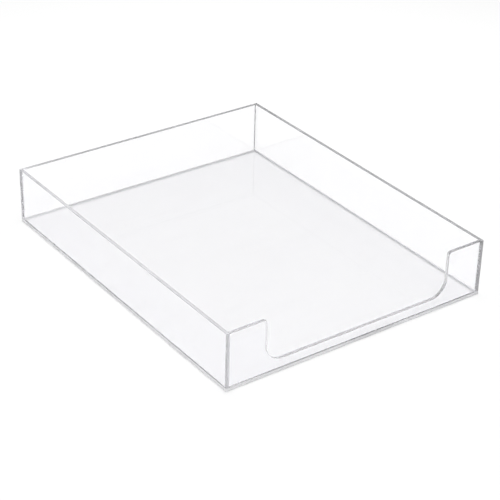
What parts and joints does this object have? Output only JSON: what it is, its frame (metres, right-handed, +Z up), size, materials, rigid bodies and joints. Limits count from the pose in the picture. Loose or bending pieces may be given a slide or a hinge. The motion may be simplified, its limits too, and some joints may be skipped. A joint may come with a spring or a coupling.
{
  "type": "letter tray",
  "caption": "Open clear acrylic tray that holds letter-size or A4 sheets flat, with low walls and a wide front cut-out for lifting papers out.",
  "frame": {"origin": "middle of the footprint, on the underside of the base sheet", "axes": "+Z up, +Y from the front cut-out to the back wall, +X to the right along the front"},
  "size_m": [0.256, 0.318, 0.0515],
  "materials": {
    "clear_acrylic": "polished"
  },
  "bodies": {
    "root": {"base_panel": "clear_acrylic", "left_side_panel": "clear_acrylic", "right_side_panel": "clear_acrylic", "back_panel": "clear_acrylic", "front_panel": "clear_acrylic"}
  },
  "joints": []
}
